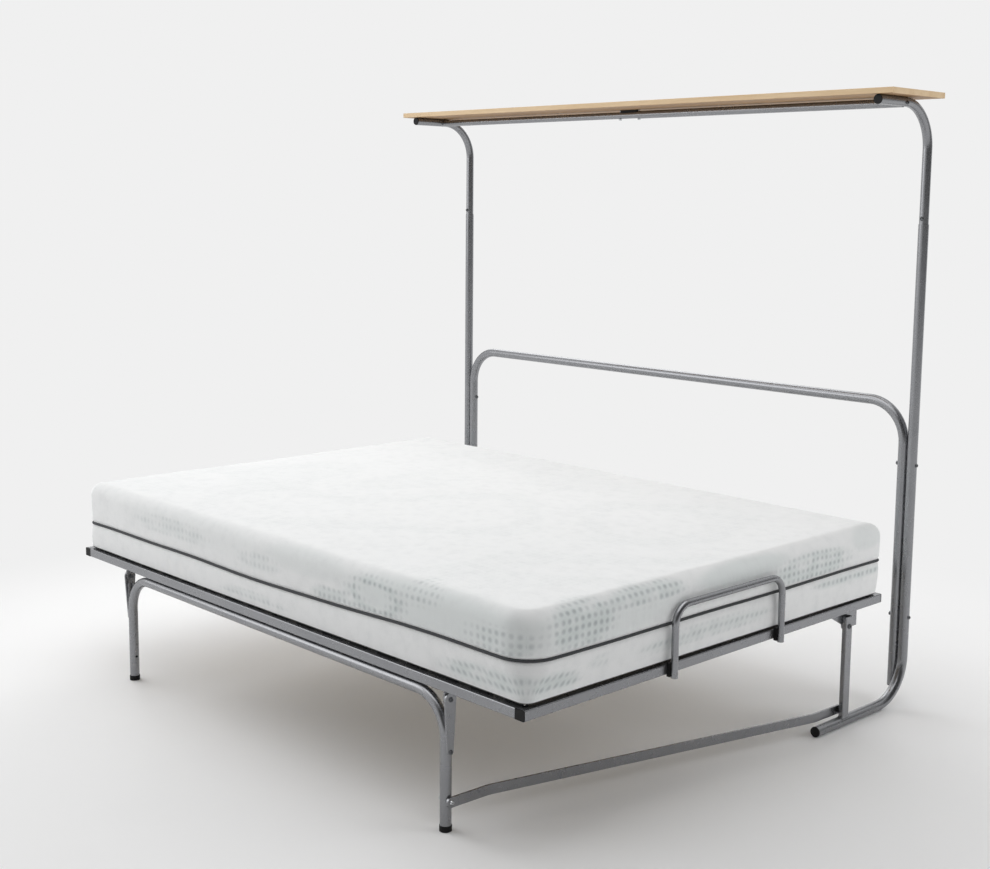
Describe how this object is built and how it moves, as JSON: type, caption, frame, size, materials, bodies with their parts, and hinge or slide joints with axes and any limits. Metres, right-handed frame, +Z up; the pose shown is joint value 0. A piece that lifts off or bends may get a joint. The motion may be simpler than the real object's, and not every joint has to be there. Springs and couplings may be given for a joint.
{
  "type": "wall bed",
  "caption": "Horizontal fold-away wall bed on a free-standing silver tube stand, with a shelf on top, a headboard hoop, a front leg hoop guided by a link bar and a thick white mattress with grey piping",
  "frame": {"origin": "on the floor, under the middle of the bed's overall width and depth", "axes": "+X along the wall, to the right of somebody who faces the wall; +Y toward the wall; +Z up"},
  "size_m": [2.058, 1.618, 1.7845],
  "materials": {
    "silver_tube": "satin metallic grey powder coat on steel tube and flat bar",
    "board_wood": "light beech-look board with a matte lacquer",
    "slat_wood": "plain beech slats, smooth and uncoated",
    "black_plastic": "moulded black plastic, fine matte grain",
    "black_rubber": "black rubber foot caps",
    "dark_steel": "dark zinc-plated bolts and nuts",
    "bright_steel": "bright zinc-plated screws and bolts",
    "white_knit": "white knitted cover with a raised dimple pattern and faint quilting waves",
    "grey_piping": "dark grey woven piping"
  },
  "bodies": {
    "stand": {"lower_post_left": "silver_tube", "lower_post_right": "silver_tube", "upper_post_left": "silver_tube", "upper_post_right": "silver_tube", "headboard_hoop": "silver_tube", "support_leg_left": "silver_tube", "support_leg_right": "silver_tube", "beam_left": "silver_tube", "beam_right": "silver_tube", "shelf_board": "board_wood", "shelf_spacer": "black_plastic", "shelf_screws": "bright_steel", "tube_end_caps": "black_plastic", "hoop_end_caps": "black_plastic", "post_joint_screws": "dark_steel", "headboard_bolts": "dark_steel", "beam_bolts": "dark_steel", "bed_pivot_bolts": "dark_steel", "link_rear_bolts": "dark_steel", "link_spacers": "black_plastic"},
    "bed_frame": {"side_rail_left": "silver_tube", "side_rail_right": "silver_tube", "foot_rail": "silver_tube", "head_rail": "silver_tube", "centre_rail": "silver_tube", "rail_end_plugs": "black_plastic", "pivot_bracket_left": "silver_tube", "pivot_bracket_right": "silver_tube", "leg_lugs": "silver_tube", "leg_pivot_bolts": "dark_steel", "slats": "slat_wood", "slat_holders": "black_plastic", "retainer_left": "silver_tube", "retainer_right": "silver_tube", "retainer_clamps": "black_plastic", "retainer_bolts": "dark_steel", "mattress": "white_knit", "mattress_piping": "grey_piping"},
    "front_legs": {"leg_hoop": "silver_tube", "leg_plate_left": "silver_tube", "leg_plate_right": "silver_tube", "leg_plate_bolts": "dark_steel", "leg_feet": "black_rubber", "link_front_bolts": "bright_steel"},
    "link_bar_right": {"link_right": "silver_tube"}
  },
  "joints": [
    {"name": "bed_fold", "type": "hinge", "parent": "stand", "child": "bed_frame", "pos_m": [0, 0.484, 0.295], "axis": [-1, 0, 0], "range_deg": [0, 90]},
    {"name": "leg_fold", "type": "hinge", "parent": "bed_frame", "child": "front_legs", "pos_m": [0, -0.792, 0.324], "axis": [-1, 0, 0], "range_deg": [-90, 0]},
    {"name": "link_right_swing", "type": "hinge", "parent": "stand", "child": "link_bar_right", "pos_m": [0.96, 0.484, 0.046], "axis": [-1, 0, 0], "range_deg": [0, 90]}
  ],
  "couplings": [
    {"joint": "leg_fold", "follows": "bed_fold", "ratio": -1},
    {"joint": "link_right_swing", "follows": "bed_fold", "ratio": 1}
  ]
}
